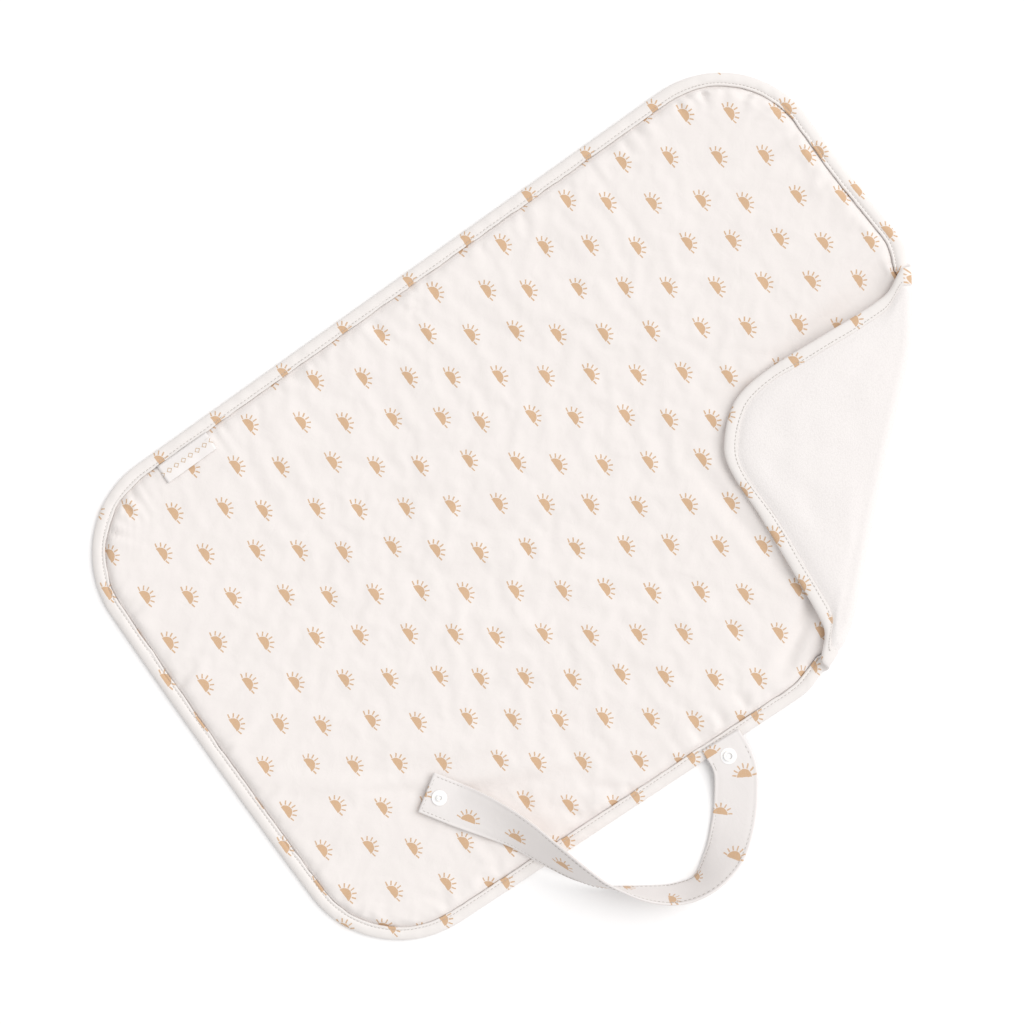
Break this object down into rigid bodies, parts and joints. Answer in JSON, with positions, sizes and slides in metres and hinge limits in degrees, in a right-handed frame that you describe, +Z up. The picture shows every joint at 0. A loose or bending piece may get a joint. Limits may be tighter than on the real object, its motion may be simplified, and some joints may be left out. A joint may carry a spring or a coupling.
{
  "type": "changing pad",
  "caption": "Portable padded changing mat with a printed cover, terry reverse, bound rounded edge, folded-over corner and a carrying strap with a snap.",
  "frame": {"origin": "centre of the mat's underside", "axes": "+X along the long side towards the folded corner's end, +Y across the mat away from the strap, +Z up out of the printed face"},
  "size_m": [0.6, 0.469, 0.0359],
  "materials": {
    "printed_fabric": "plain woven cotton, off-white with a small tan print",
    "terry": "looped terry, off-white",
    "wadding": "loose fibre",
    "waterproof_film": "thin laminated film",
    "interlining": "pressed non-woven",
    "thread": "twisted polyester thread",
    "label_ribbon": "satin-woven ribbon",
    "snap_plastic": "moulded acetal, satin"
  },
  "bodies": {
    "pad": {"printed_cover": "printed_fabric", "wadding": "wadding", "waterproof_liner": "waterproof_film", "terry_backing": "terry", "edge_binding": "printed_fabric", "binding_stitching": "thread", "woven_label": "label_ribbon", "strap_base": "printed_fabric", "strap_base_interlining": "interlining", "strap_base_stitching": "thread", "snap_socket": "snap_plastic", "snap_socket_cap": "snap_plastic"},
    "corner_flap": {"corner_printed_cover": "printed_fabric", "corner_wadding": "wadding", "corner_waterproof_liner": "waterproof_film", "corner_terry_backing": "terry", "corner_edge_binding": "printed_fabric", "corner_binding_stitching": "thread"},
    "strap_end": {"strap_arm": "printed_fabric", "strap_arm_interlining": "interlining", "strap_arm_stitching": "thread", "snap_stud": "snap_plastic", "snap_stud_cap": "snap_plastic"}
  },
  "joints": [
    {"name": "corner_fold", "type": "hinge", "parent": "pad", "child": "corner_flap", "pos_m": [0.13985, -0.15262, 0.0083], "axis": [0.7373, 0.6756, 0], "range_deg": [0, 179]},
    {"name": "strap_swing", "type": "hinge", "parent": "pad", "child": "strap_end", "pos_m": [-0.073, -0.268, 0.0153], "axis": [0, 0, 1], "range_deg": [-35, 75]}
  ]
}
